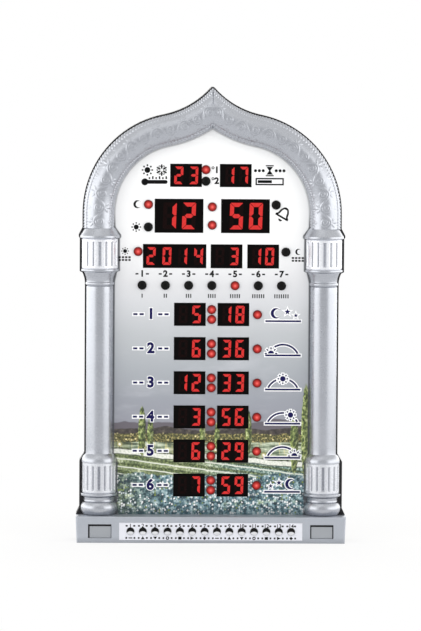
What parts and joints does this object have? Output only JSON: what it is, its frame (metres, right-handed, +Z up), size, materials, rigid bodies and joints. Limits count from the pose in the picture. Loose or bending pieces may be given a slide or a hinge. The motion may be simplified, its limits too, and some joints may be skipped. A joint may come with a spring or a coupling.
{
  "type": "azan clock",
  "caption": "Prayer-time clock in an ogee arch frame with fluted columns, a printed panel of red digit displays and indicator lamps, a row of push keys in the plinth and a rear housing.",
  "frame": {"origin": "middle of the clock's footprint, on the surface that it stands on", "axes": "+X to the viewer's right, +Y to the back, +Z up; the face looks along -Y"},
  "size_m": [0.258, 0.046, 0.4349],
  "materials": {
    "silver_moulding": "bright silver paint on moulded ABS, satin gloss",
    "silver_matt": "matt silver grey paint on moulded ABS",
    "dark_housing": "fine-textured charcoal ABS",
    "printed_panel": "full-colour print under a clear satin film",
    "pale_strip": "smooth pale label strip",
    "key_black": "glossy black moulded key caps",
    "display_black": "black digit module faces with red segments",
    "lamp_red": "red diffused lamp domes",
    "circuit_board": "green solder mask",
    "black_component": "black moulded component bodies",
    "grey_cable": "grey flat cable",
    "steel": "plated steel"
  },
  "bodies": {
    "case": {"arch_frame": "silver_moulding", "blanking_plate_left": "silver_matt", "blanking_plate_right": "silver_matt", "board_screws": "steel", "cable_headers": "black_component", "case_screws": "steel", "cell_holder": "black_component", "clock_colon_lamps": "lamp_red", "column_left": "silver_moulding", "column_right": "silver_moulding", "control_board": "circuit_board", "display_day": "display_black", "display_hours": "display_black", "display_minutes": "display_black", "display_month": "display_black", "display_temperature": "display_black", "display_waiting_time": "display_black", "display_year": "display_black", "driver_chips": "black_component", "key_board": "circuit_board", "key_board_screws": "steel", "key_strip": "pale_strip", "key_switches": "black_component", "main_board": "circuit_board", "memory_cell": "steel", "picture_panel": "printed_panel", "plinth_shell": "silver_matt", "power_jack": "black_component", "prayer_hour_displays": "display_black", "prayer_minute_displays": "display_black", "processor": "black_component", "rear_housing": "dark_housing", "ribbon_cable": "grey_cable", "row_colon_lamps": "lamp_red", "row_lamps": "lamp_red", "speaker": "black_component", "speaker_screws": "steel", "status_lamps": "lamp_red", "temperature_sensor": "black_component", "weekday_lamps": "lamp_red"},
    "key_01": {"button_01": "key_black"},
    "key_02": {"button_02": "key_black"},
    "key_03": {"button_03": "key_black"},
    "key_04": {"button_04": "key_black"},
    "key_05": {"button_05": "key_black"},
    "key_06": {"button_06": "key_black"},
    "key_07": {"button_07": "key_black"},
    "key_08": {"button_08": "key_black"},
    "key_09": {"button_09": "key_black"},
    "key_10": {"button_10": "key_black"},
    "key_11": {"button_11": "key_black"},
    "key_12": {"button_12": "key_black"},
    "key_13": {"button_13": "key_black"},
    "key_14": {"button_14": "key_black"}
  },
  "joints": [
    {"name": "press_01", "type": "slide", "parent": "case", "child": "key_01", "axis": [0, 1, 0], "range_m": [0, 0.0008], "stiffness_N_per_m": 900},
    {"name": "press_02", "type": "slide", "parent": "case", "child": "key_02", "axis": [0, 1, 0], "range_m": [0, 0.0008], "stiffness_N_per_m": 900},
    {"name": "press_03", "type": "slide", "parent": "case", "child": "key_03", "axis": [0, 1, 0], "range_m": [0, 0.0008], "stiffness_N_per_m": 900},
    {"name": "press_04", "type": "slide", "parent": "case", "child": "key_04", "axis": [0, 1, 0], "range_m": [0, 0.0008], "stiffness_N_per_m": 900},
    {"name": "press_05", "type": "slide", "parent": "case", "child": "key_05", "axis": [0, 1, 0], "range_m": [0, 0.0008], "stiffness_N_per_m": 900},
    {"name": "press_06", "type": "slide", "parent": "case", "child": "key_06", "axis": [0, 1, 0], "range_m": [0, 0.0008], "stiffness_N_per_m": 900},
    {"name": "press_07", "type": "slide", "parent": "case", "child": "key_07", "axis": [0, 1, 0], "range_m": [0, 0.0008], "stiffness_N_per_m": 900},
    {"name": "press_08", "type": "slide", "parent": "case", "child": "key_08", "axis": [0, 1, 0], "range_m": [0, 0.0008], "stiffness_N_per_m": 900},
    {"name": "press_09", "type": "slide", "parent": "case", "child": "key_09", "axis": [0, 1, 0], "range_m": [0, 0.0008], "stiffness_N_per_m": 900},
    {"name": "press_10", "type": "slide", "parent": "case", "child": "key_10", "axis": [0, 1, 0], "range_m": [0, 0.0008], "stiffness_N_per_m": 900},
    {"name": "press_11", "type": "slide", "parent": "case", "child": "key_11", "axis": [0, 1, 0], "range_m": [0, 0.0008], "stiffness_N_per_m": 900},
    {"name": "press_12", "type": "slide", "parent": "case", "child": "key_12", "axis": [0, 1, 0], "range_m": [0, 0.0008], "stiffness_N_per_m": 900},
    {"name": "press_13", "type": "slide", "parent": "case", "child": "key_13", "axis": [0, 1, 0], "range_m": [0, 0.0008], "stiffness_N_per_m": 900},
    {"name": "press_14", "type": "slide", "parent": "case", "child": "key_14", "axis": [0, 1, 0], "range_m": [0, 0.0008], "stiffness_N_per_m": 900}
  ]
}
